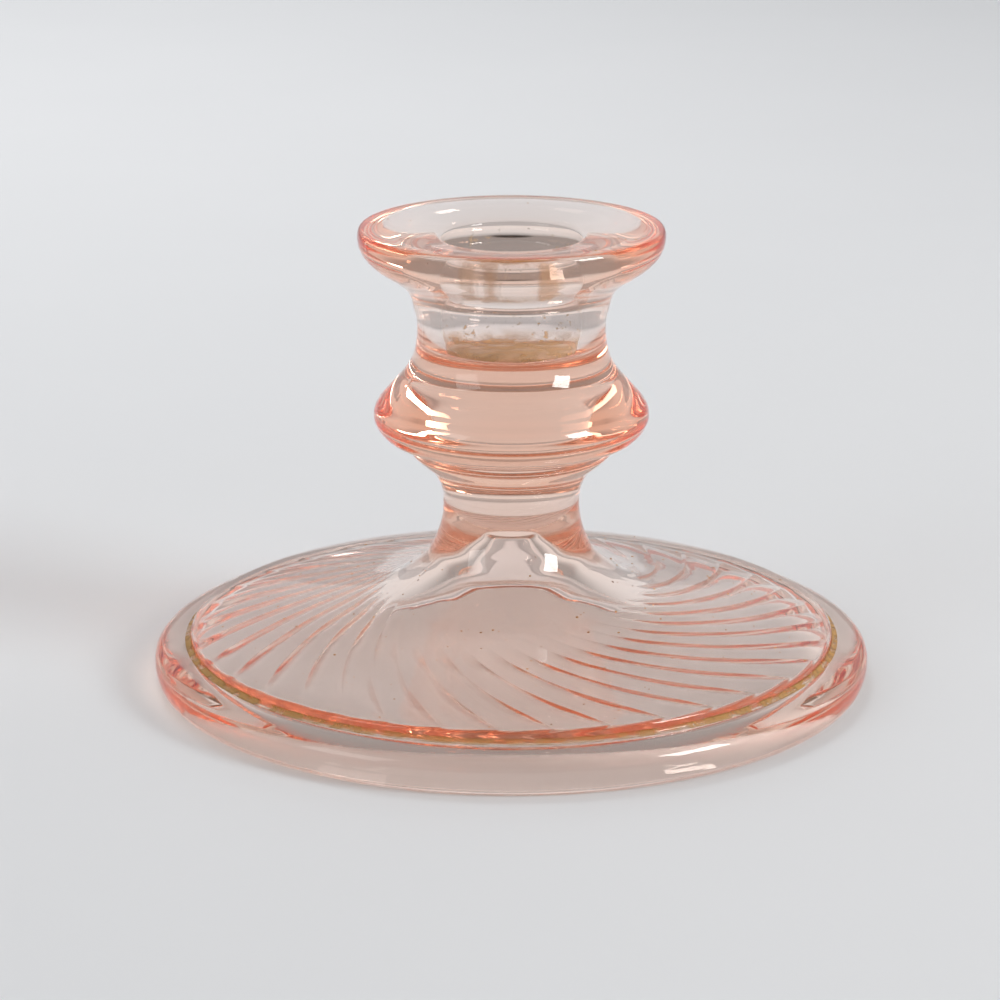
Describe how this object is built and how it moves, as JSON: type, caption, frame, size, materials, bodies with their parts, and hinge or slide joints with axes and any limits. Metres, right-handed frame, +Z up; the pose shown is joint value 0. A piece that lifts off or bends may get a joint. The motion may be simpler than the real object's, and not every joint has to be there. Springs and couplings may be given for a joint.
{
  "type": "candlestick",
  "caption": "Low pressed-glass candlestick with a flared lip, straight candle socket, round knop, short stem and broad round foot with spiral ribs underneath.",
  "frame": {"origin": "on the vertical axis of the candlestick, in the plane of the ring that the foot stands on", "axes": "+Z up along the axis of the candle socket; X and Y are equal, because every section is turned about Z"},
  "size_m": [0.1142, 0.1142, 0.0732],
  "materials": {
    "lip_glass": "clear pale pink pressed glass, fire polished, peach where it is seen edge on",
    "socket_glass": "clear pale pink pressed glass, with a film of old wax and lime on the socket floor",
    "knop_glass": "solid clear pink glass, salmon where it is thick",
    "stem_glass": "solid clear pink glass, salmon where it is thick",
    "foot_glass": "clear pale pink pressed glass over spiral ribs",
    "rim_glass": "clear pale pink pressed glass, nearly colourless, with faint tool lines"
  },
  "bodies": {
    "root": {"drip_lip": "lip_glass", "candle_socket": "socket_glass", "knop": "knop_glass", "stem": "stem_glass", "foot_flare": "foot_glass", "foot_disc": "foot_glass", "foot_rim": "rim_glass"}
  },
  "joints": []
}
